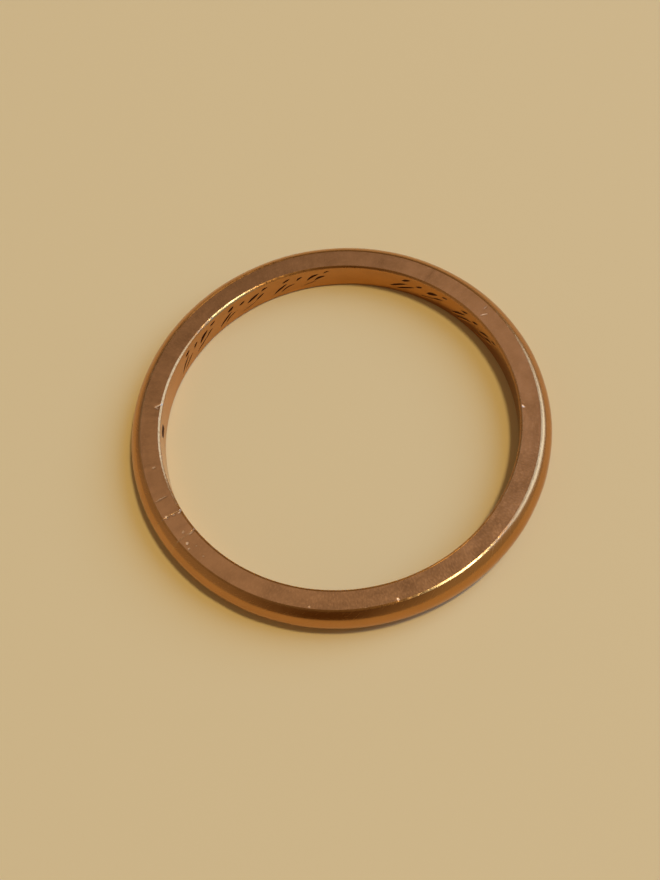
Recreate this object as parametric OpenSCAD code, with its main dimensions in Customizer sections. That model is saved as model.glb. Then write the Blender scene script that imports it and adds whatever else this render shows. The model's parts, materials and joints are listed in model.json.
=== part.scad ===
/* [Finger size] */
// Circumference of the bore, which is the ring size: lettered sizes are 1.25 mm apart
bore_circumference = 56.25; // [40:1.25:75]

/* [Band section] */
// Width of the band, measured along the finger
band_w = 1.7; // [1.3:0.1:4]
// Flat side, measured outwards from the bore wall to the foot of the crown
side_w = 1.05; // [0.8:0.05:1.6]
// Height of the crowned outside above the outer edge of the flat sides
crown_h = 0.55; // [0.2:0.05:0.65]
// Radius of the softened edge at each end of the bore
bore_edge_r = 0.12; // [0.05:0.01:0.3]

/* [Sizing piece] */
// Length of the let-in piece, measured round the middle of the metal
insert_len = 1.3; // [0.8:0.05:5]
// Direction of its middle from the centre of the ring, turned from +X towards +Y
insert_direction = 207; // [0:1:359]
// Thickness of the solder film in each butt joint
solder_t = 0.06; // [0.03:0.01:0.15]

/* [Hidden] */
$fn = 180;

bore_r = bore_circumference / (2 * PI);
crown_foot_r = bore_r + side_w;
outer_r = crown_foot_r + crown_h;
mid_r = (bore_r + outer_r) / 2;

// The crown is one arc through the outer edges of both flat sides and the widest point of the band
crown_r = (pow(band_w / 2, 2) + pow(crown_h, 2)) / (2 * crown_h);
crown_centre_r = outer_r - crown_r;

// Half the angle that the let-in piece takes up, to the middle of its solder films
insert_half_angle = (insert_len + solder_t) / mid_r * 90 / PI;

// A cutter that clears the ring on every side
cutter_len = 2 * outer_r;
cutter_h = 3 * band_w;

// D section of the band, with x as the distance from the ring's axis: a straight bore wall with
// softened edges, a flat side at the top and bottom, and a crown that springs from them at a clean edge
module band_section() {
    intersection() {
        translate([crown_centre_r, band_w / 2]) circle(crown_r);
        translate([bore_r + bore_edge_r, 0]) square([outer_r - bore_r - bore_edge_r, band_w]);
    }
    translate([bore_r + bore_edge_r, 0]) square([side_w - bore_edge_r, band_w]);
    translate([bore_r, bore_edge_r]) square([side_w, band_w - 2 * bore_edge_r]);
    for (edge_z = [bore_edge_r, band_w - bore_edge_r])
        translate([bore_r + bore_edge_r, edge_z]) circle(bore_edge_r);
}

// The closed hoop, lying on one flat side with its axis up
module hoop() {
    rotate_extrude() band_section();
}

// Slab that fills the saw cut of one butt joint, side = -1 for the clockwise one and 1 for the other
module saw_cut(side) {
    rotate([0, 0, insert_direction + side * insert_half_angle])
        translate([0, -solder_t / 2, -band_w])
            cube([cutter_len, solder_t, cutter_h]);
}

// Wedge between the middles of the two saw cuts
module insert_wedge() {
    rotate([0, 0, insert_direction])
        translate([0, 0, -band_w])
            linear_extrude(cutter_h)
                polygon([
                    [0, 0],
                    cutter_len * [cos(insert_half_angle), -sin(insert_half_angle)],
                    cutter_len * [cos(insert_half_angle), sin(insert_half_angle)]
                ]);
}

// Main strip of the band, bent round and sawn open for the let-in piece
module band_shank() {
    color([0.71, 0.47, 0.33])
        difference() {
            hoop();
            insert_wedge();
            saw_cut(-1);
            saw_cut(1);
        }
}

// Short piece of the same wire, let in to make the band larger
module sizing_insert() {
    color([0.73, 0.50, 0.36])
        difference() {
            intersection() {
                hoop();
                insert_wedge();
            }
            saw_cut(-1);
            saw_cut(1);
        }
}

// Film of hard solder that fills one butt joint, filed flush with the band all round
module solder_film(side) {
    color([0.83, 0.70, 0.52])
        intersection() {
            hoop();
            saw_cut(side);
        }
}

module solder_joint_clockwise() {
    solder_film(-1);
}

module solder_joint_anticlockwise() {
    solder_film(1);
}

band_shank();
sizing_insert();
solder_joint_clockwise();
solder_joint_anticlockwise();
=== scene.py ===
"""A plain gold wedding band of D section, with a let-in sizing piece and an engraved bore.

It lies on one flat side on a pale floor. All lengths are in metres, in the frame of the CAD model.
"""
import json
import math

import bpy
import numpy as np
from bpy.props import FloatProperty, FloatVectorProperty, IntProperty, PointerProperty
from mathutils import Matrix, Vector


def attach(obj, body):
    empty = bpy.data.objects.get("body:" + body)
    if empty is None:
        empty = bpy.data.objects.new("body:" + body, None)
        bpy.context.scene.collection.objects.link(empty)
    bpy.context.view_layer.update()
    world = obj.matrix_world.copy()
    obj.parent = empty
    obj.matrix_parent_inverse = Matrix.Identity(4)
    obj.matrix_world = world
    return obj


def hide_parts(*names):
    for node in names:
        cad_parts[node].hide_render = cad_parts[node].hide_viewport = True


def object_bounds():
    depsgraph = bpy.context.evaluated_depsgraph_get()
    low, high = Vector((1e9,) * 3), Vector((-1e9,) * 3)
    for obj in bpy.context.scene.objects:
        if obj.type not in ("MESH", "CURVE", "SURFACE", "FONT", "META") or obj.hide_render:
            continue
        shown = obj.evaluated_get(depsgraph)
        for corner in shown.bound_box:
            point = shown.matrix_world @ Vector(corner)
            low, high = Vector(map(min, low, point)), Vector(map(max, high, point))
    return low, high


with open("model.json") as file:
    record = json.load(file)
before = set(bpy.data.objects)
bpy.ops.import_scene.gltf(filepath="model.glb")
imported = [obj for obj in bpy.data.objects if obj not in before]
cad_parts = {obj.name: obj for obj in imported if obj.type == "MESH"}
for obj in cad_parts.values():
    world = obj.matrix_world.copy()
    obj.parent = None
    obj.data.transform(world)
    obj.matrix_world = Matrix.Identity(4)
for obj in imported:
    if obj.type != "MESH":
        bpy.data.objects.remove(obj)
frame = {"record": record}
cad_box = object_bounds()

bl_info = {
    "name": "Wedding Band",
    "version": (1, 0, 0),
    "blender": (4, 5, 0),
    "location": "3D View > Sidebar > Wedding Band",
    "description": "Adds a gold wedding band with an engraved bore, piece by piece, and its stage",
    "category": "Add Mesh",
}

MM = 0.001
ROOT = "root"
MOUNTS = {mount["name"]: mount for mount in frame["record"]["mounts"]}
BORE_DIMS = MOUNTS["finger_bore"]["dims"]
BAND_WIDTH = cad_box[1].z - cad_box[0].z
OUTER_RADIUS = (cad_box[1].x - cad_box[0].x) / 2

# The two stretches of ornament round the bore, as directions in degrees from +X towards +Y
ORNAMENT_SPANS = ((18.0, 65.0), (84.0, 149.0))
# Other stretches with fine detail: the solder joints, the punch mark and single nicks
DETAIL_SPANS = ((28.0, 31.0), (163.5, 173.5), (185.0, 188.0), (193.0, 221.0),
                (277.0, 279.0), (352.0, 356.0))

# Spacing of the mesh round the ring, where there is fine detail and where there is none
FINE_STEP, COARSE_STEP = 0.04 * MM, 0.13 * MM
# Directions tried along a piece to find where it has fine detail
PROBES = 20000
# Half the turn between the ends of a solder film, in radians: next to none, as its faces are parallel
SLIVER = 1e-6

# Material slots of each piece
SATIN, POLISHED, ENGRAVED, WORN = range(4)


# ---------------------------------------------------------------------------------------------
# Sizes and colours that a user would change
# ---------------------------------------------------------------------------------------------

def hex_to_linear(code):
    """An sRGB hex colour such as "#E3AD7C" as linear RGBA."""
    srgb = np.array([int(code[i:i + 2], 16) for i in (1, 3, 5)]) / 255
    linear = np.where(srgb <= 0.04045, srgb / 12.92, ((srgb + 0.055) / 1.055) ** 2.4)
    return (*linear.tolist(), 1.0)


def length(name, description, default):
    """A length property in metres."""
    return FloatProperty(name=name, description=description, default=default,
                         unit="LENGTH", precision=6)


def angle(name, description, degrees):
    """An angle property, given in degrees and kept in radians."""
    return FloatProperty(name=name, description=description, default=math.radians(degrees),
                         subtype="ANGLE")


def colour(name, description, code):
    """A colour property, given as an sRGB hex code and kept as linear RGBA."""
    return FloatVectorProperty(name=name, description=description, default=hex_to_linear(code),
                               subtype="COLOR", size=4, min=0.0, max=1.0)


class BandSizes(bpy.types.PropertyGroup):
    """Sizes of the band's section, its joints and its engraving"""
    bore_radius: length("Bore radius", "From the axis to the bore wall", BORE_DIMS["r_mm"] * MM)
    outer_radius: length("Outer radius", "From the axis to the top of the crown", OUTER_RADIUS)
    band_width: length("Band width", "Along the finger", BAND_WIDTH)
    crown_height: length("Crown height", "From the edge of the flat sides to the top of the crown",
                         0.55 * MM)
    bore_edge: length("Bore edge", "Radius of the softened edges of the bore",
                      (BAND_WIDTH - BORE_DIMS["length_mm"] * MM) / 2)
    side_edge: length("Side edge", "Radius of the worn edge between a side and the crown", 0.22 * MM)
    solder_film: length("Solder film", "Thickness of the solder in each joint", 0.06 * MM)
    insert_length: length("Insert length", "Length of the let-in piece round the middle of the metal",
                          1.3 * MM)
    insert_direction: angle("Insert direction", "Middle of the let-in piece, from +X towards +Y", 207.0)
    engraving_depth: length("Engraving depth", "Depth of the widest cut of the ornament", 0.06 * MM)


class BandColours(bpy.types.PropertyGroup):
    """Colours of the metal and of the stage"""
    gold: colour("Gold", "Polished red gold", "#C68E54")
    satin: colour("Satin gold", "The same gold where it is filed and worn dull", "#DAA67C")
    insert: colour("Insert gold", "The let-in piece, from a slightly paler batch", "#DDA980")
    solder: colour("Solder", "Hard gold solder, paler than the band", "#DDB088")
    # Nick colour: partly fresh metal, partly a painted gleam for the light the nicks catch.
    fresh_and_gleam: colour("Fresh metal", "Bare gold in a nick that is still bright", "#F0D6BC")
    # Painted glint toning: duller, paler gold laid where the key lamp glints on an edge, not a scuff.
    glint_toning: colour("Scuffed gold", "An edge rubbed dull and pale by other things", "#A0937F")
    patina: colour("Patina", "Dirt and oxide in the cuts of the engraving", "#4A2410")
    floor: colour("Floor", "Pale straw floor", "#E2C891")


class StageSettings(bpy.types.PropertyGroup):
    """Camera and floor"""
    camera_distance: length("Camera distance", "From the camera to the point it looks at", 66.0 * MM)
    camera_elevation: angle("Camera elevation", "Height of the camera above the horizon", 63.5)
    camera_roll: angle("Camera roll", "Turn of the camera about its line of sight", 9.3)
    camera_lens: FloatProperty(name="Camera lens", description="Focal length in millimetres",
                               default=53.2, unit="CAMERA")
    camera_target: FloatVectorProperty(name="Camera target", description="The point it looks at",
                                       default=(-0.594 * MM, -0.253 * MM, 0.0),
                                       subtype="TRANSLATION", precision=6)
    floor_sides: IntProperty(name="Floor sides", description="Number of sides of the floor disc",
                             default=128)
    floor_radius: length("Floor radius", "From the axis of the band to the rim of the floor", 1.4)
    floor_gap: length("Floor gap", "Between the floor and the side that the band lies on", 0.001 * MM)


# ---------------------------------------------------------------------------------------------
# Section of the band
# ---------------------------------------------------------------------------------------------

def eased(count, strength=0.7):
    """Numbers from 0 up to but not including 1, closer together near both ends.

    They are t - strength sin(2 pi t) / (2 pi), with t in even steps. Strength 0 leaves them even.
    """
    t = np.arange(count) / count
    return t - strength * np.sin(2 * np.pi * t) / (2 * np.pi)


def arc_rows(centre, radius, start, end, steps):
    """Rows along an arc from one angle a in degrees to another: centre + radius (cos a, sin a).

    The normal is (cos a, sin a).
    """
    angles = np.radians(start + (end - start) * steps)
    normal = np.stack([np.cos(angles), np.sin(angles)], 1)
    return np.concatenate([np.array(centre) + radius * normal, normal], 1)


def line_rows(start, end, normal, steps):
    """Rows along a straight stretch: start + t (end - start) for each step t."""
    start, end = np.array(start), np.array(end)
    points = start + steps[:, None] * (end - start)
    return np.concatenate([points, np.broadcast_to(normal, points.shape)], 1)


class Section:
    """The D section as rows of (radius, height) with their normals, once round, counter-clockwise.

    The crown is an arc through the outer edges of both flat sides. A small arc of radius side_edge
    lies tangent to the side and inside the crown, so its centre is crown_radius - side_edge from the
    crown's centre. A quarter circle of radius bore_edge softens each end of the straight bore wall.
    COUNTS gives the rows of each stretch.
    """
    COUNTS = {"lower_side": 5, "lower_side_edge": 3, "crown": 22, "upper_side_edge": 6,
              "upper_side": 21, "upper_bore_edge": 7, "bore_wall": 34, "lower_bore_edge": 3}

    def __init__(self, sizes):
        half_width = sizes.band_width / 2
        rise = sizes.crown_height
        crown_radius = (half_width ** 2 + rise ** 2) / (2 * rise)
        crown_centre = sizes.outer_radius - crown_radius
        reach, lift = crown_radius - sizes.side_edge, half_width - sizes.side_edge
        side_end = crown_centre + math.sqrt(reach ** 2 - lift ** 2)
        foot = math.degrees(math.asin(lift / reach))
        top, bore = sizes.band_width, sizes.bore_radius
        edge, corner = sizes.bore_edge, sizes.side_edge
        side_start = bore + edge
        n = self.COUNTS
        stretches = {
            "lower_side": line_rows((side_start, 0), (side_end, 0), (0, -1), eased(n["lower_side"])),
            "lower_side_edge": arc_rows((side_end, corner), corner, -90, -foot,
                                        eased(n["lower_side_edge"], 0)),
            "crown": arc_rows((crown_centre, half_width), crown_radius, -foot, foot,
                              eased(n["crown"], 0.6)),
            "upper_side_edge": arc_rows((side_end, top - corner), corner, foot, 90,
                                        eased(n["upper_side_edge"], 0)),
            "upper_side": line_rows((side_end, top), (side_start, top), (0, 1), eased(n["upper_side"])),
            "upper_bore_edge": arc_rows((side_start, top - edge), edge, 90, 180,
                                        eased(n["upper_bore_edge"], 0)),
            "bore_wall": line_rows((bore, top - edge), (bore, edge), (-1, 0), eased(n["bore_wall"], 0)),
            "lower_bore_edge": arc_rows((side_start, edge), edge, 180, 270,
                                        eased(n["lower_bore_edge"], 0)),
        }
        rows = np.concatenate(list(stretches.values()))
        self.radius, self.height, self.normal_out, self.normal_up = rows.T
        self.name = np.repeat(list(stretches), [len(s) for s in stretches.values()])
        steps = np.hypot(np.diff(self.radius, append=self.radius[0]),
                         np.diff(self.height, append=self.height[0]))
        self.along = np.concatenate([[0], np.cumsum(steps)])

    def on(self, *names):
        """True for the rows of the named stretches."""
        return np.isin(self.name, names)


def middle_radius(sizes):
    """Radius of the middle of the metal, halfway between the bore and the top of the crown."""
    return (sizes.bore_radius + sizes.outer_radius) / 2


def joint_directions(sizes):
    """Directions of the middles of the clockwise and the anticlockwise solder films, in radians."""
    half = (sizes.insert_length + sizes.solder_film) / middle_radius(sizes) / 2
    return sizes.insert_direction - half, sizes.insert_direction + half


# ---------------------------------------------------------------------------------------------
# Work and wear of the surface
# ---------------------------------------------------------------------------------------------

# Waviness of the whole surface, from hammering and from wear: its height, and the fewest and the most
# waves round the ring
WAVES = ((0.0025 * MM, 5, 28), (0.0006 * MM, 60, 160))
WAVE_SEED = 11


def ripple(direction, across, fewest, most, seed):
    """Smooth unevenness that closes on itself round the ring, about 1 high.

    It is a sum of waves cos(k direction + m across + phase), with across in millimetres and a whole
    number k of waves round the ring, from fewest up to most.
    """
    random = np.random.default_rng(seed)
    count = 24
    waves = random.integers(fewest, most, count)
    slant = random.normal(0, 1.0, count)
    phase = random.uniform(0, 2 * np.pi, count)
    total = sum(np.cos(k * direction + m * across / MM + p) for k, m, p in zip(waves, slant, phase))
    return total / math.sqrt(count / 2)


def turn_from(direction, degrees):
    """Turn from a direction in degrees to directions in radians, from -pi up to pi."""
    return (direction - math.radians(degrees) + np.pi) % (2 * np.pi) - np.pi


# One repeat of the leaf pattern, in millimetres: x runs along the bore, y up from its lower edge.
# Pairs of long slanting leaves, as on a wheat ear, with short leaves between them. Each row holds the
# start and end of a leaf, how far it bows sideways, its greatest width and its depth from 0 to 1.
LEAVES = (
    (0.10, 0.22, 0.98, 0.78, 0.05, 0.19, 1.00),
    (0.46, 0.14, 1.36, 0.62, 0.04, 0.13, 0.70),
    (0.72, 0.96, 1.16, 1.16, -0.03, 0.20, 0.90),
    (1.46, 0.80, 1.80, 1.02, 0.02, 0.17, 0.80),
    (1.62, 0.16, 2.58, 0.52, -0.06, 0.10, 0.50),
    (1.98, 0.56, 2.66, 0.98, 0.05, 0.22, 1.00),
    (2.40, 0.44, 2.98, 0.74, 0.04, 0.16, 0.80),
    (2.86, 1.02, 3.24, 1.14, 0.00, 0.15, 0.75),
)
# Length of one repeat and height of the ornament, in millimetres
LEAF_REPEAT = 3.35
LEAF_HEIGHT = 1.32
# Leaves cut by hand are unlike each other: by how much their ends shift, in millimetres, and by what
# share their width and depth change
HAND_SHIFT = 0.05
HAND_SHARE = 0.25
# Along the bore, a leaf's cut and burr lie within this distance of its ends, in millimetres
LEAF_REACH = 0.3
# Height of a full burr and depth of the punch mark, as shares of the engraving depth
BURR_HEIGHT = 0.2
PUNCH_DEPTH = 0.6
# How much faster than the depth of a cut the dirt in it builds up, until it is full
DIRT_GAIN = 2.2
# The punch mark: direction of its middle in degrees, its level as a share of the band's width, and half
# of its length and of its height
PUNCH_DIRECTION, PUNCH_LEVEL = 171.7, 0.55
PUNCH_HALF_LENGTH, PUNCH_HALF_HEIGHT = 0.26 * MM, 0.20 * MM


def leaf_rows(span, bore_radius):
    """The leaves of one stretch of ornament, as rows like LEAVES with x measured from its start.

    The pattern is repeated a whole number of times and stretched to fit. The ends and the bow of each
    leaf are then shifted by up to HAND_SHIFT, and its width and depth change by up to HAND_SHARE.
    """
    run = math.radians(span[1] - span[0]) * bore_radius / MM
    repeats = round(run / LEAF_REPEAT)
    stretch = run / repeats / LEAF_REPEAT
    rows = np.tile(np.array(LEAVES), (repeats, 1))
    rows[:, [0, 2]] += np.repeat(np.arange(repeats), len(LEAVES))[:, None] * LEAF_REPEAT
    rows[:, [0, 2]] *= stretch
    random = np.random.default_rng(round(10 * span[0]))
    rows[:, :5] += random.uniform(-HAND_SHIFT, HAND_SHIFT, (len(rows), 5))
    rows[:, 5:] *= random.uniform(1 - HAND_SHARE, 1 + HAND_SHARE, (len(rows), 2))
    return rows


def leaf_cut(x, y, leaf):
    """Depth from 0 to 1 of one leaf, and the height from 0 to 1 of the burr thrown up on its lower side.

    With t along the leaf and d the distance across it from its bowed middle line bow sin(pi t), the
    half width w swells as sin(pi t) to the power 0.8. The depth is 1 - |d| / w, and the burr is
    exp(-((d + 1.25 w) / (0.5 w))^2) times sin(pi t).
    """
    x0, y0, x1, y1, bow, width, depth = leaf
    reach = math.hypot(x1 - x0, y1 - y0)
    ux, uy = (x1 - x0) / reach, (y1 - y0) / reach
    t = ((x - x0) * ux + (y - y0) * uy) / reach
    swell = np.sin(np.pi * np.clip(t, 0.001, 0.999))
    off_end = np.maximum(np.abs(t - 0.5) - 0.5, 0) * reach
    across = (y - y0) * ux - (x - x0) * uy - bow * swell
    half = width / 2 * swell ** 0.8
    cut = np.clip(1 - np.hypot(across, off_end) / half, 0, 1) * depth
    burr = np.exp(-((across + 1.25 * half) / (0.5 * half)) ** 2) * swell * (off_end == 0)
    return cut, burr


def ornament_relief(direction, height, sizes):
    """Depth of the engraved leaves, and height of their burrs, both from 0 to 1, on the bore wall."""
    cut, burr = np.zeros_like(direction), np.zeros_like(direction)
    y = (height - (sizes.band_width - LEAF_HEIGHT * MM) / 2) / MM
    for span in ORNAMENT_SPANS:
        # x runs clockwise, so that the leaves lean the way the engraver cut them
        x = (math.radians(span[1]) - direction) * sizes.bore_radius / MM
        for leaf in leaf_rows(span, sizes.bore_radius):
            near = (x > leaf[0] - LEAF_REACH) & (x < leaf[2] + LEAF_REACH)
            one_cut, one_burr = leaf_cut(x[near], y[near], leaf)
            cut[near] = np.maximum(cut[near], one_cut)
            burr[near] = np.maximum(burr[near], one_burr)
    return cut, np.where(cut > 0, 0, burr)


def punch_relief(direction, height, sizes):
    """Depth from 0 to 1 of a small blank rectangular punch mark in the bore.

    It is a product of two soft boxes, 1 / (1 + (distance / half size)^8), along and across the bore.
    """
    along = (direction - math.radians(PUNCH_DIRECTION)) * sizes.bore_radius / PUNCH_HALF_LENGTH
    across = (height - PUNCH_LEVEL * sizes.band_width) / PUNCH_HALF_HEIGHT
    return 1 / (1 + along ** 8) / (1 + across ** 8)


# Nicks and pits in the upper side: direction in degrees, radius, length and width in millimetres,
# turn from the radial direction in degrees, and strength, which is 1 for a nick of NICK_DEPTH
SIDE_MARKS = (
    (165.0, 9.16, 0.44, 0.08, 35, 0.9),
    (165.9, 9.24, 0.24, 0.07, -30, 0.6),
    (186.3, 9.45, 0.20, 0.09, 20, 0.6),
    (196.8, 9.58, 0.66, 0.08, 6, 0.5),
    (202.9, 9.76, 0.15, 0.15, 0, 1.0),
    (203.2, 9.42, 0.11, 0.11, 0, 1.0),
    (203.6, 9.10, 0.20, 0.09, 10, 0.7),
    (209.6, 9.52, 0.18, 0.12, 40, 0.5),
    (211.3, 9.22, 0.34, 0.09, 8, 0.6),
    (213.2, 9.72, 0.16, 0.12, 60, 0.8),
    (214.8, 9.84, 0.12, 0.10, 0, 0.6),
    (215.6, 9.50, 0.10, 0.10, 0, 0.4),
    (219.4, 9.62, 0.10, 0.10, 0, 0.5),
    (29.0, 9.42, 0.40, 0.09, -24, 0.5),
    (30.6, 9.74, 0.30, 0.08, 12, 0.4),
    (353.8, 9.15, 0.19, 0.10, -50, 0.9),
    (347.0, 9.70, 0.09, 0.09, 0, 0.5),
    (253.7, 9.88, 0.12, 0.10, 0, 0.6),
    (268.5, 9.93, 0.12, 0.09, 30, 0.6),
    (277.8, 9.90, 0.16, 0.09, 30, 0.9),
)
NICK_DEPTH = 0.012 * MM
# A mark lies within this turn of its middle, in radians
MARK_REACH = 0.1


def side_marks(direction, radius):
    """Share from 0 to 1 of bare, roughened metal in the nicks of the upper side; its pale colour is
    partly a painted gleam.

    With a the distance along a mark over half its length and b the distance across it over half its
    width, the share is strength exp(-b^2 - a^4). Where marks meet, the stronger one counts.
    """
    bare_and_glint_paint = np.zeros_like(direction)
    for centre, middle, size, width, turn, strength in SIDE_MARKS:
        offset = turn_from(direction, centre)
        near = np.abs(offset) < MARK_REACH
        sideways, outwards = offset[near] * middle, radius[near] / MM - middle
        c, s = math.cos(math.radians(turn)), math.sin(math.radians(turn))
        a = (outwards * c + sideways * s) / (size / 2)
        b = (sideways * c - outwards * s) / (width / 2)
        bare_and_glint_paint[near] = np.maximum(bare_and_glint_paint[near], strength * np.exp(-b ** 2 - a ** 4))
    return bare_and_glint_paint


# Narrow flats that wear has rubbed on the edges: stretch of the section, lean of the flat from the level
# in degrees, middle and half length of the worn part in degrees, depth in millimetres at its middle, and
# share of painted glint toning there, a duller and paler gold. The first four run all the way round.
# The two toned ones are a guess: they lie where the key lamp glints on an edge, and the painted toning is
# there to hold the glint down.
RUBBED = (
    ("lower_side_edge", 12, 0, 360, 0.002, 0.0),
    ("upper_side_edge", 12, 0, 360, 0.002, 0.0),
    ("lower_bore_edge", 45, 0, 360, 0.003, 0.0),
    ("upper_bore_edge", 45, 0, 360, 0.003, 0.0),
    ("upper_side_edge", 17, 297.0, 16.0, 0.002, 1.0),
    ("upper_bore_edge", 17, 122.0, 12.0, 0.003, 1.0),
    ("upper_bore_edge", 30, 167.0, 26.0, 0.016, 0.0),
)
# Unevenness of the flats: height in millimetres, and fewest and most waves round the ring
FLAT_HEIGHT, FLAT_WAVES = 0.0010, (30, 150)
FLAT_SEED = 20
# Dents in the flats, where shorter waves rise above a level: depth in millimetres for each 1 above it
DENT_DEPTH, DENT_WAVES, DENT_LEVEL = 0.003, (90, 420), 1.3
DENT_SEED = 13


def edge_wear(section, direction):
    """Depth of the metal rubbed off the four edges, in metres, and the share of painted glint toning.

    Each flat leans outwards on a side edge and inwards on a bore edge. With g the distance of a point of
    the section from the plane that touches it at that lean, and d the depth of the flat, the metal beyond
    the flat goes: (d - g) / n, or nothing where g > d, with n the cosine of the angle between the point's
    normal and the flat's, but no less than a half. d has short waves and dents round the ring, and falls
    off along it as exp(-(distance / half length)^4), as the painted glint toning does.
    """
    wear, glint_toning = np.zeros_like(direction), np.zeros_like(direction)
    dents = np.clip(ripple(direction, 0 * direction, *DENT_WAVES, DENT_SEED) - DENT_LEVEL, 0, None)
    for number, (edge, lean, middle, half, depth, share) in enumerate(RUBBED):
        lean_out = math.sin(math.radians(lean)) * (1 if "side" in edge else -1)
        lean_up = math.cos(math.radians(lean)) * (1 if "upper" in edge else -1)
        touch = section.radius * lean_out + section.height * lean_up
        gap = touch.max() - touch
        facing = np.clip(section.normal_out * lean_out + section.normal_up * lean_up, 0.5, 1)
        fall = np.exp(-(turn_from(direction, middle) / math.radians(half)) ** 4)
        waves = FLAT_HEIGHT * ripple(direction, 0 * direction, *FLAT_WAVES, FLAT_SEED + number)
        uneven = waves + DENT_DEPTH * dents
        wear = np.maximum(wear, np.clip((depth + uneven) * MM * fall - gap, 0, None) / facing)
        glint_toning = np.maximum(glint_toning, share * fall * section.on(edge))
    return wear, glint_toning


def band_relief(section, direction, sizes):
    """Outward shift of the worked and worn surface, in metres, its share of patina, and a share that
    marks bare metal in the nicks and painted glint toning on the edges.

    direction is a grid of columns by rows. The whole surface is slightly wavy, the four edges are
    rubbed down, the upper side carries nicks, and the bore is engraved. The nicks show bare metal with
    a painted gleam in its pale colour, and the edges carry painted glint toning where the key lamp
    glints.
    """
    radius = np.broadcast_to(section.radius, direction.shape)
    height = np.broadcast_to(section.height, direction.shape)
    along = np.broadcast_to(section.along[:-1], direction.shape)
    relief = sum(high * ripple(direction, along, fewest, most, WAVE_SEED + number)
                 for number, (high, fewest, most) in enumerate(WAVES))

    wear, glint_toning = edge_wear(section, direction)
    bare_and_glint_paint = np.zeros_like(relief)
    worked = section.on("upper_side", "upper_side_edge", "upper_bore_edge")
    bare_and_glint_paint[:, worked] = side_marks(direction[:, worked], radius[:, worked])
    relief = relief - wear - NICK_DEPTH * bare_and_glint_paint
    # The share now holds the nicks and the painted glint toning of the edges.
    bare_and_glint_paint = np.maximum(bare_and_glint_paint, glint_toning)

    patina = np.zeros_like(relief)
    wall = section.on("bore_wall")
    cut, burr = ornament_relief(direction[:, wall], height[:, wall], sizes)
    punch = punch_relief(direction[:, wall], height[:, wall], sizes)
    relief[:, wall] += sizes.engraving_depth * (BURR_HEIGHT * burr - np.maximum(cut, PUNCH_DEPTH * punch))
    patina[:, wall] = np.clip(DIRT_GAIN * np.maximum(cut, punch), 0, 1)
    return relief, patina, bare_and_glint_paint


# ---------------------------------------------------------------------------------------------
# Meshes
# ---------------------------------------------------------------------------------------------

def column_directions(start, end, sizes):
    """Directions of the columns of a piece, in radians, packed closely where there is fine detail.

    The spacing is FINE_STEP in the detailed spans and COARSE_STEP elsewhere, measured round the
    middle of the metal. The columns are even steps of the running total of 1 / spacing.
    """
    probe = np.linspace(start, end, PROBES)
    turn = np.degrees(probe) % 360
    detailed = np.zeros(probe.shape, bool)
    for low, high in ORNAMENT_SPANS + DETAIL_SPANS:
        detailed |= (turn > low) & (turn < high)
    density = np.where(detailed, 1 / FINE_STEP, 1 / COARSE_STEP) * middle_radius(sizes)
    total = np.concatenate([[0], np.cumsum((density[1:] + density[:-1]) / 2 * np.diff(probe))])
    count = max(3, math.ceil(total[-1]))
    return np.interp(np.linspace(0, total[-1], count + 1), total, probe)


def add_wrap_map(mesh, section, columns, corners, middle):
    """Gives a piece its UV map in millimetres, as it lies round the band and along its section.

    Lengths round the band are taken at the middle radius. corners holds the columns and the rows of
    the corners of the quads. The two cut faces, the caps, come last, and each of their corners keeps
    its row's place along the section.
    """
    corner_columns, corner_rows = corners
    wrap = np.stack([columns[corner_columns] * middle, section.along[corner_rows]], -1).reshape(-1, 2)
    rows_along = section.along[:-1]
    caps = np.stack([np.repeat(columns[[0, -1]] * middle, len(rows_along)),
                     np.concatenate([rows_along[::-1], rows_along])], -1)
    uv = mesh.uv_layers.new(name="Wrap")
    uv.data.foreach_set("uv", (np.concatenate([wrap, caps]) / MM).astype(np.float32).ravel())


def add_finishes(mesh, section, n_columns):
    """Gives each face of a piece its material slot, and makes its cut faces flat with a sharp rim."""
    n_rows = len(section.radius)
    finish = np.select([section.on("lower_side", "upper_side"), section.on("crown"),
                        section.on("bore_wall")], [SATIN, POLISHED, ENGRAVED], WORN)
    finish = np.concatenate([np.tile(finish, n_columns - 1), [POLISHED, POLISHED]])
    mesh.polygons.foreach_set("material_index", finish.astype(np.int32))
    smooth = np.ones(len(finish), bool)
    smooth[-2:] = False
    mesh.polygons.foreach_set("use_smooth", smooth)
    ends = np.zeros(len(mesh.edges) * 2, np.int32)
    mesh.edges.foreach_get("vertices", ends)
    column_of = ends.reshape(-1, 2) // n_rows
    sharp = (column_of == 0).all(1) | (column_of == n_columns - 1).all(1)
    mesh.attributes.new("sharp_edge", "BOOLEAN", "EDGE").data.foreach_set("value", sharp)


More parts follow.
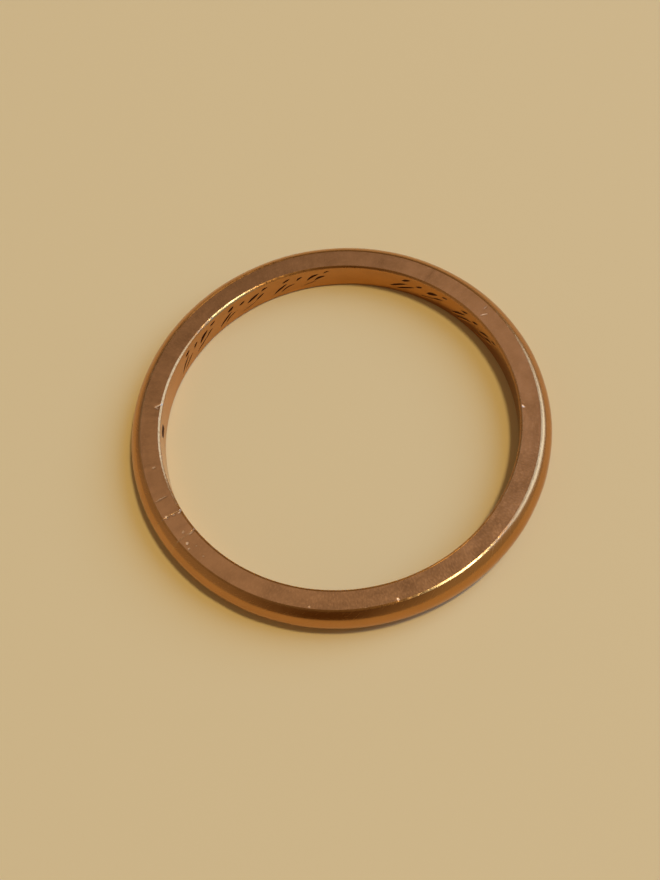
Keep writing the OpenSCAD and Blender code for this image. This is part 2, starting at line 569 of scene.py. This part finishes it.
def band_piece(name, sizes, start, end, start_offset, end_offset, sunk=0.0):
    """One piece of the hoop between two flat cut faces, as a closed mesh.

    The grid has a column for each direction and a row for each point of the section. A cut face is
    parallel to the line from the axis at its direction and offset sideways, so on it the direction of a
    row at radius r is turned by asin(offset / r). Columns between share out that turn. sunk lowers
    the surface between the faces by sunk sin(pi t), as solder draws back in a joint.
    """
    section = Section(sizes)
    columns = column_directions(start, end, sizes)
    share = ((columns - start) / (end - start))[:, None]
    turn = ((1 - share) * np.arcsin(start_offset / section.radius)
            + share * np.arcsin(end_offset / section.radius))
    direction = columns[:, None] + turn
    relief, patina, bare_and_glint_paint = band_relief(section, direction % (2 * np.pi), sizes)
    relief = relief - sunk * np.sin(np.pi * share)
    radius = section.radius + relief * section.normal_out
    height = section.height + relief * section.normal_up
    points = np.stack([radius * np.cos(direction), radius * np.sin(direction), height], -1)

    n_columns, n_rows = direction.shape
    column, row = np.meshgrid(np.arange(n_columns - 1), np.arange(n_rows), indexing="ij")
    corner_columns = np.stack([column, column + 1, column + 1, column], -1).reshape(-1, 4)
    corner_rows = np.stack([row, row, row + 1, row + 1], -1).reshape(-1, 4)
    quads = corner_columns * n_rows + corner_rows % n_rows
    first_cap = np.arange(n_rows)[::-1]
    last_cap = (n_columns - 1) * n_rows + np.arange(n_rows)
    faces = quads.tolist() + [first_cap.tolist(), last_cap.tolist()]

    mesh = bpy.data.meshes.new(name)
    mesh.from_pydata(points.reshape(-1, 3).tolist(), [], faces)
    add_wrap_map(mesh, section, columns, (corner_columns, corner_rows), middle_radius(sizes))
    for share_name, values in (("patina", patina), ("bare_and_glint_paint", bare_and_glint_paint)):
        attribute = mesh.attributes.new(share_name, "FLOAT", "POINT")
        attribute.data.foreach_set("value", values.astype(np.float32).ravel())
    add_finishes(mesh, section, n_columns)
    mesh.update()
    return mesh


# ---------------------------------------------------------------------------------------------
# Materials
# ---------------------------------------------------------------------------------------------

def add(tree, kind, inputs=(), output=0, **settings):
    """Adds a node with its settings and links, and gives one of its output sockets, if it has any.

    inputs are the values of its first sockets in order, or of sockets by name or number. Each is a
    plain value or another node's output socket.
    """
    node = tree.nodes.new(kind)
    for name, value in settings.items():
        setattr(node, name, value)
    for socket, value in (inputs.items() if isinstance(inputs, dict) else enumerate(inputs)):
        if isinstance(value, bpy.types.NodeSocket):
            tree.links.new(value, node.inputs[socket])
        else:
            node.inputs[socket].default_value = value
    return node.outputs[output] if node.outputs else None


def streaks(tree, wrap, size_round, size_across, turn=0.0, detail=3.0):
    """Noise on the wrap map, drawn out to size_round by size_across and turned.

    The sizes are in millimetres and the turn in degrees.
    """
    turned = add(tree, "ShaderNodeMapping", {"Vector": wrap, "Rotation": (0, 0, math.radians(turn))})
    drawn = add(tree, "ShaderNodeMapping",
                {"Vector": turned, "Scale": (1 / size_round, 1 / size_across, 1)})
    return add(tree, "ShaderNodeTexNoise",
               {"Vector": drawn, "Scale": 1.0, "Detail": detail, "Roughness": 0.55},
               noise_dimensions="2D")


def overlaid(tree, tone, other, pattern, low, high, share=1.0):
    """A colour with another laid over it: none where a pattern is low, the share where it is high."""
    cover = add(tree, "ShaderNodeMapRange", (pattern, low, high, 0.0, share))
    return add(tree, "ShaderNodeMix", {0: cover, 6: tone, 7: other}, 2, data_type="RGBA")


def summed(tree, *parts):
    """The sum of several patterns, each given with its low and high value and what these count for.

    Between them a pattern counts in proportion, and beyond them it is held.
    """
    total, *others = (add(tree, "ShaderNodeMapRange", part) for part in parts)
    for other in others:
        total = add(tree, "ShaderNodeMath", (total, other), operation="ADD")
    return total


def shaded(tone, share):
    """A colour made darker, or paler where the share is above 1."""
    return (*(min(1.0, share * channel) for channel in tone[:3]), 1.0)


def new_material(name):
    """An empty node material and its tree."""
    material = bpy.data.materials.new(name)
    material.use_nodes = True
    material.node_tree.nodes.clear()
    return material, material.node_tree


def new_metal(name):
    """An empty node material, its tree, and the wrap map that its patterns follow."""
    material, tree = new_material(name)
    return material, tree, add(tree, "ShaderNodeUVMap", uv_map="Wrap")


def finish_metal(tree, tone, rough, relief, depth, more=None):
    """Ends the tree of a metal: its colour, its roughness, its relief and how deep that is.

    more holds further values of its shader, by name.
    """
    normal = add(tree, "ShaderNodeBump", {"Height": relief, "Strength": 1.0, "Distance": depth})
    surface = {"Base Color": tone, "Metallic": 1.0, "Roughness": rough, "Normal": normal}
    surface.update(more or {})
    shader = add(tree, "ShaderNodeBsdfPrincipled", surface)
    add(tree, "ShaderNodeOutputMaterial", {"Surface": shader})


def satin_gold(name, gold, fresh_and_gleam):
    """Gold filed flat across the side and worn to satin: a broad dull gleam with faint cross grain.

    The file leaves scratches about 0.02 mm apart, drawn here at 0.07 mm, the finest that still shows.
    Handling leaves cloudy patches about 1 mm across that are a little smoother and darker. Nicks show
    fresh, rough metal, and their pale colour is partly a painted gleam.
    """
    material, tree, wrap = new_metal(name)
    grain = streaks(tree, wrap, 0.07, 0.16, turn=4)
    crossed = streaks(tree, wrap, 0.09, 0.5, turn=12)
    cloud = streaks(tree, wrap, 1.1, 0.7, detail=4)
    bare_and_glint_paint = add(tree, "ShaderNodeAttribute", output="Fac", attribute_name="bare_and_glint_paint")
    tone = overlaid(tree, gold, shaded(gold, 0.74), cloud, 0.35, 0.7, 0.5)
    tone = overlaid(tree, tone, shaded(gold, 1.2), grain, 0.5, 0.75, 0.5)
    # Nicks: fresh metal, with a painted gleam in the paleness of the colour.
    tone = overlaid(tree, tone, fresh_and_gleam, bare_and_glint_paint, 0.1, 0.8)
    rough = summed(tree, (grain, 0.3, 0.7, 0.18, 0.24), (cloud, 0.3, 0.7, 0.02, -0.02),
                   (bare_and_glint_paint, 0.1, 0.8, 0, 0.34))
    relief = add(tree, "ShaderNodeMath", (grain, crossed), operation="ADD")
    finish_metal(tree, tone, rough, relief, 0.0006 * MM)
    return material


def worn_edge_and_glint_toned_gold(name, gold, glint_toning):
    """Gold on an edge, knocked and rubbed by years of wear: broken gleams, short and thick.

    Wear runs round the band and leaves fine marks that way, which spread a gleam across the edge and
    not along it. The knocks are 0.03 to 0.2 mm long, drawn here at 0.16 mm with finer detail. Where the
    key lamp glints on an edge, a duller, paler painted toning holds the glint down.
    """
    material, tree, wrap = new_metal(name)
    knocks = streaks(tree, wrap, 0.16, 0.12, detail=3)
    rubbed = streaks(tree, wrap, 0.9, 0.4, detail=2)
    bare_and_glint_paint = add(tree, "ShaderNodeAttribute", output="Fac", attribute_name="bare_and_glint_paint")
    tone = overlaid(tree, gold, shaded(gold, 0.72), knocks, 0.45, 0.7, 0.5)
    # Painted glint toning: a duller, paler colour laid where the key lamp glints.
    tone = add(tree, "ShaderNodeMix", {0: bare_and_glint_paint, 6: tone, 7: glint_toning}, 2, data_type="RGBA")
    rough = summed(tree, (knocks, 0.35, 0.7, 0.27, 0.33), (rubbed, 0.35, 0.65, -0.03, 0.03))
    round_band = add(tree, "ShaderNodeTangent", direction_type="UV_MAP", uv_map="Wrap")
    across = {"Anisotropic": 0.92, "Anisotropic Rotation": 0.25, "Tangent": round_band}
    finish_metal(tree, tone, rough, knocks, 0.003 * MM, across)
    return material


def polished_gold(name, gold):
    """Gold polished on a mop and then worn: a soft, full gleam with hairlines that run round the band.

    The hairlines are about 0.01 mm wide, drawn here at 0.03 mm, and a few scratches of about the same
    width, drawn at 0.045 mm, cross them. Wear leaves faint darker patches about 1 mm across.
    """
    material, tree, wrap = new_metal(name)
    hairlines = streaks(tree, wrap, 2.4, 0.03, turn=3)
    scratches = streaks(tree, wrap, 0.9, 0.045, turn=-38)
    film = streaks(tree, wrap, 1.8, 0.9, detail=4)
    tone = overlaid(tree, gold, shaded(gold, 0.80), film, 0.4, 0.75, 0.35)
    rough = summed(tree, (hairlines, 0.35, 0.75, 0.18, 0.26), (scratches, 0.60, 0.75, 0.0, 0.10))
    scored = add(tree, "ShaderNodeMapRange", (scratches, 0.62, 0.72, 0.0, -0.8))
    relief = add(tree, "ShaderNodeMath", (hairlines, scored), operation="ADD")
    finish_metal(tree, tone, rough, relief, 0.0004 * MM)
    return material


def engraved_gold(name, gold, patina):
    """Polished gold of the bore, rubbed bright by the finger, with dark dirt and oxide left in the cuts.

    The hairlines that run round the bore are about 0.01 mm wide, drawn here at 0.04 mm.
    """
    material, tree, wrap = new_metal(name)
    dirt = add(tree, "ShaderNodeAttribute", output="Fac", attribute_name="patina")
    hairlines = streaks(tree, wrap, 1.6, 0.04, turn=2)
    film = streaks(tree, wrap, 1.2, 0.6, detail=4)
    tone = overlaid(tree, gold, shaded(gold, 0.75), film, 0.4, 0.75, 0.4)
    tone = overlaid(tree, tone, patina, dirt, 0.1, 0.7)
    rough = summed(tree, (hairlines, 0.35, 0.75, 0.13, 0.20), (dirt, 0.1, 0.7, 0, 0.4))
    finish_metal(tree, tone, rough, hairlines, 0.0005 * MM)
    return material


def hard_solder(name, solder, smoothest):
    """Hard gold solder filed flush: a slightly pitted line, as smooth as the gold on either side of it.

    The pits are 0.02 to 0.1 mm wide, drawn here at about 0.1 mm, and are darker and rougher.
    """
    material, tree, wrap = new_metal(name)
    pits = streaks(tree, wrap, 0.09, 0.12, detail=2)
    tone = overlaid(tree, solder, shaded(solder, 0.7), pits, 0.5, 0.7, 0.4)
    rough = summed(tree, (pits, 0.4, 0.7, smoothest, smoothest + 0.1))
    finish_metal(tree, tone, rough, pits, 0.0006 * MM)
    return material


def floor_card(name, tone):
    """Smooth pale card: matt, with hardly any gleam."""
    material, tree = new_material(name)
    shader = add(tree, "ShaderNodeBsdfPrincipled",
                 {"Base Color": tone, "Roughness": 0.75, "Specular IOR Level": 0.2})
    add(tree, "ShaderNodeOutputMaterial", {"Surface": shader})
    return material


def gold_finishes(names, satin, gold, colours):
    """The four finishes of a piece of the band, in the order of its material slots."""
    fresh_and_gleam, patina, glint_toning = tuple(colours.fresh_and_gleam), tuple(colours.patina), tuple(colours.glint_toning)
    return [satin_gold(names[SATIN], satin, fresh_and_gleam), polished_gold(names[POLISHED], gold),
            engraved_gold(names[ENGRAVED], gold, patina), worn_edge_and_glint_toned_gold(names[WORN], gold, glint_toning)]


def polished_tone(colours, metal):
    """The colour of a metal where it is polished: its satin colour, changed as the band's own is."""
    return tuple(g * m / s for g, m, s in zip(colours.gold, metal, colours.satin))


# ---------------------------------------------------------------------------------------------
# Pieces
# ---------------------------------------------------------------------------------------------

def place(name, mesh, materials, node):
    """Puts a finished piece in the scene, in place of its CAD node and riding on the band's body."""
    for material in materials:
        mesh.materials.append(material)
    piece = bpy.data.objects.new(name, mesh)
    bpy.context.scene.collection.objects.link(piece)
    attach(piece, ROOT)
    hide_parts(node)
    return piece


class WEDDINGBAND_OT_shank(bpy.types.Operator):
    """Adds the main strip of the band, engraved round the bore"""
    bl_idname = "wedding_band.shank"
    bl_label = "Band Shank"

    def execute(self, context):
        sizes, colours = context.scene.band_sizes, context.scene.band_colours
        clockwise, anticlockwise = joint_directions(sizes)
        half = sizes.solder_film / 2
        mesh = band_piece("band_shank_worn", sizes, anticlockwise, clockwise + 2 * math.pi, half, -half)
        names = ("Satin red gold", "Polished red gold", "Engraved red gold", "Worn edge gold")
        materials = gold_finishes(names, tuple(colours.satin), tuple(colours.gold), colours)
        place("band_shank_worn", mesh, materials, "band_shank")
        return {"FINISHED"}


class WEDDINGBAND_OT_insert(bpy.types.Operator):
    """Adds the short piece that was let in to make the band larger"""
    bl_idname = "wedding_band.insert"
    bl_label = "Sizing Insert"

    def execute(self, context):
        sizes, colours = context.scene.band_sizes, context.scene.band_colours
        clockwise, anticlockwise = joint_directions(sizes)
        half = sizes.solder_film / 2
        mesh = band_piece("sizing_insert_worn", sizes, clockwise, anticlockwise, half, -half)
        names = ("Satin insert gold", "Polished insert gold", "Bore of the insert", "Worn insert edge")
        insert = tuple(colours.insert)
        materials = gold_finishes(names, insert, polished_tone(colours, insert), colours)
        place("sizing_insert_worn", mesh, materials, "sizing_insert")
        return {"FINISHED"}


class WEDDINGBAND_OT_solder(bpy.types.Operator):
    """Adds the solder films of both butt joints"""
    bl_idname = "wedding_band.solder"
    bl_label = "Solder Joints"

    def execute(self, context):
        sizes, colours = context.scene.band_sizes, context.scene.band_colours
        half = sizes.solder_film / 2
        solder = tuple(colours.solder)
        filed = hard_solder("Filed gold solder", solder, smoothest=0.22)
        bright = hard_solder("Polished gold solder", polished_tone(colours, solder), smoothest=0.16)
        drawn_back = {"clockwise": 0.005 * MM, "anticlockwise": 0.002 * MM}
        for side, middle in zip(drawn_back, joint_directions(sizes)):
            name = f"solder_joint_{side}_worn"
            # The film has parallel faces, so its ends share its direction and differ only in offset
            start, end = middle - SLIVER, middle + SLIVER
            mesh = band_piece(name, sizes, start, end, -half, half, drawn_back[side])
            place(name, mesh, [filed, bright, bright, filed], f"solder_joint_{side}")
        return {"FINISHED"}


# ---------------------------------------------------------------------------------------------
# Stage
# ---------------------------------------------------------------------------------------------

# The lamps, all as far from the band: name, azimuth and elevation in degrees, width and height in
# metres, turn in degrees, radiance and tint. A small warm lamp makes the glints on the edges. A wide
# one makes the long gleams, and is strongly blue so that they come out pale on red gold.
LAMPS = (
    ("key_lamp", -6, 74, 0.19, 0.19, 0, 108.0, (1.0, 0.82, 0.45)),
    ("window_panel", 17, 40, 1.55, 1.3, -32, 4.6, (0.24, 0.46, 1.0)),
)
LAMP_DISTANCE = 1.5

# The room that the metal mirrors, as the colour of each part of it
ROOM = {
    "horizon": "#C2B18C",
    "left_wall": "#A4937C",
    "right_wall": "#A99C82",
    "far_wall": "#4A3E32",
    "high_left": "#7A6B57",
    "high_right": "#54483C",
    "ceiling": "#7C6E5A",
    "lit_strip": "#B7A68E",
    "dark_side": "#5A4020",
}


def aim(thing, azimuth, elevation, distance, target):
    """Puts a lamp or camera at a distance from target, in a direction in degrees, facing the target.

    Azimuth is measured from +X towards +Y.
    """
    a, e = math.radians(azimuth), math.radians(elevation)
    back = Vector((math.cos(e) * math.cos(a), math.cos(e) * math.sin(a), math.sin(e)))
    thing.rotation_euler = (-back).to_track_quat("-Z", "Y").to_euler()
    thing.location = Vector(target) + distance * back


def add_lamp(name, azimuth, elevation, width, height, turn, radiance, tint):
    """An oval lamp that faces the band, turned about its own axis.

    Its power is pi times its area times its radiance.
    """
    lamp = bpy.data.lights.new(name, "AREA")
    lamp.shape = "ELLIPSE"
    lamp.size, lamp.size_y = width, height
    lamp.energy = math.pi * (math.pi / 4 * width * height) * radiance
    lamp.color = tint
    holder = bpy.data.objects.new(name, lamp)
    bpy.context.scene.collection.objects.link(holder)
    aim(holder, azimuth, elevation, LAMP_DISTANCE, (0, 0, 0))
    holder.rotation_euler.rotate_axis("Z", math.radians(turn))
    holder.visible_camera = False


def add_floor(stage, tone):
    """A disc just under the band: floor_sides corners at even turns, floor_radius from the axis."""
    turn = np.linspace(0, 2 * np.pi, stage.floor_sides, endpoint=False)
    rim = np.stack([stage.floor_radius * np.cos(turn), stage.floor_radius * np.sin(turn),
                    np.full(turn.shape, -stage.floor_gap)], 1)
    mesh = bpy.data.meshes.new("floor")
    mesh.from_pydata(rim.tolist(), [], [list(range(stage.floor_sides))])
    mesh.materials.append(floor_card("Pale card", tone))
    floor = bpy.data.objects.new("floor", mesh)
    bpy.context.scene.collection.objects.link(floor)


def add_world(scene):
    """A plain room as seen from the floor, given by direction alone.

    It is pale just above the floor and has warm walls, dim beyond the band and high up, a ceiling
    with one lit strip across it, and a dark side where someone stands to look at the band.
    """
    world = bpy.data.worlds.new("Studio")
    scene.world = world
    world.use_nodes = True
    tree = world.node_tree
    tree.nodes.clear()
    ray = add(tree, "ShaderNodeTexCoord", output="Generated")

    def laid(tone, other, *edges):
        """A colour with another laid over it inside one or more soft edges.

        The reach of the ray is how far it points in an edge's direction, from -1 to 1. The cover
        grows from none at the edge's first reach to full at its second, and the covers of several
        edges are multiplied. An edge that ends with "both" takes the reach without its sign.
        """
        cover = 1.0
        for direction, none, full, *both in edges:
            reach = add(tree, "ShaderNodeVectorMath", (ray, direction), "Value", operation="DOT_PRODUCT")
            if both:
                reach = add(tree, "ShaderNodeMath", (reach,), operation="ABSOLUTE")
            soft = add(tree, "ShaderNodeMapRange", (reach, none, full))
            cover = add(tree, "ShaderNodeMath", (cover, soft), operation="MULTIPLY")
        return add(tree, "ShaderNodeMix", {0: cover, 6: tone, 7: other}, 2, data_type="RGBA")

    room = {part: hex_to_linear(code) for part, code in ROOM.items()}
    up, right = (0, 0, 1), (1, 0, 0)
    walls = laid(room["left_wall"], room["right_wall"], (right, -0.2, 0.7))
    tone = laid(room["horizon"], walls, (up, 0.0, 0.10))
    high = laid(room["high_left"], room["high_right"], (right, -0.4, 0.0))
    tone = laid(tone, high, (up, 0.72, 0.88))
    tone = laid(tone, room["far_wall"], ((-0.17, 0.985, 0), 0.45, 0.72), (up, 0.26, 0.42))
    tone = laid(tone, room["ceiling"], ((0.04, 0.28, 0.959), 0.80, 0.93))
    tone = laid(tone, room["lit_strip"], ((-0.459, 0.795, -0.396), 0.13, 0.03, "both"),
                ((0.009, 0.449, 0.893), 0.86, 0.93))
    tone = laid(tone, room["dark_side"], ((0.951, -0.309, 0), 0.74, 0.14, "both"),
                ((-0.309, -0.951, 0), 0.30, 0.60))
    background = add(tree, "ShaderNodeBackground", {"Color": tone, "Strength": 1.0})
    add(tree, "ShaderNodeOutputWorld", {"Surface": background})


def add_camera(scene, stage):
    """A camera in front of the band, looking down at it, with a slight roll."""
    camera = bpy.data.objects.new("camera", bpy.data.cameras.new("camera"))
    camera.data.lens = stage.camera_lens
    camera.data.clip_start, camera.data.clip_end = 1 * MM, 10.0
    scene.collection.objects.link(camera)
    aim(camera, -90, math.degrees(stage.camera_elevation), stage.camera_distance, stage.camera_target)
    camera.rotation_euler.rotate_axis("Z", -stage.camera_roll)
    scene.camera = camera


class WEDDINGBAND_OT_stage(bpy.types.Operator):
    """Adds the pale floor, the room, the lamps and the camera"""
    bl_idname = "wedding_band.stage"
    bl_label = "Stage"

    def execute(self, context):
        scene = context.scene
        add_floor(scene.band_stage, tuple(scene.band_colours.floor))
        add_world(scene)
        for lamp in LAMPS:
            add_lamp(*lamp)
        add_camera(scene, scene.band_stage)
        scene.view_settings.view_transform = "Standard"
        return {"FINISHED"}


class WEDDINGBAND_PT_panel(bpy.types.Panel):
    """Lists the stage and the pieces of the band in the order they are made"""
    bl_label = "Wedding Band"
    bl_space_type = "VIEW_3D"
    bl_region_type = "UI"
    bl_category = "Wedding Band"

    def draw(self, context):
        for operator in OPERATORS:
            self.layout.operator(operator.bl_idname)


OPERATORS = (WEDDINGBAND_OT_stage, WEDDINGBAND_OT_shank, WEDDINGBAND_OT_insert, WEDDINGBAND_OT_solder)
CLASSES = (BandSizes, BandColours, StageSettings, *OPERATORS, WEDDINGBAND_PT_panel)


def register():
    """Registers the classes and gives the scene its sizes, colours and stage settings."""
    for cls in CLASSES:
        bpy.utils.register_class(cls)
    bpy.types.Scene.band_sizes = PointerProperty(type=BandSizes)
    bpy.types.Scene.band_colours = PointerProperty(type=BandColours)
    bpy.types.Scene.band_stage = PointerProperty(type=StageSettings)


def unregister():
    """Takes back what register did."""
    del bpy.types.Scene.band_sizes
    del bpy.types.Scene.band_colours
    del bpy.types.Scene.band_stage
    for cls in reversed(CLASSES):
        bpy.utils.unregister_class(cls)


def main():
    """Registers the classes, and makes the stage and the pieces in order."""
    register()
    bpy.ops.wedding_band.stage()
    bpy.ops.wedding_band.shank()
    bpy.ops.wedding_band.insert()
    bpy.ops.wedding_band.solder()


if __name__ == "__main__":
    main()
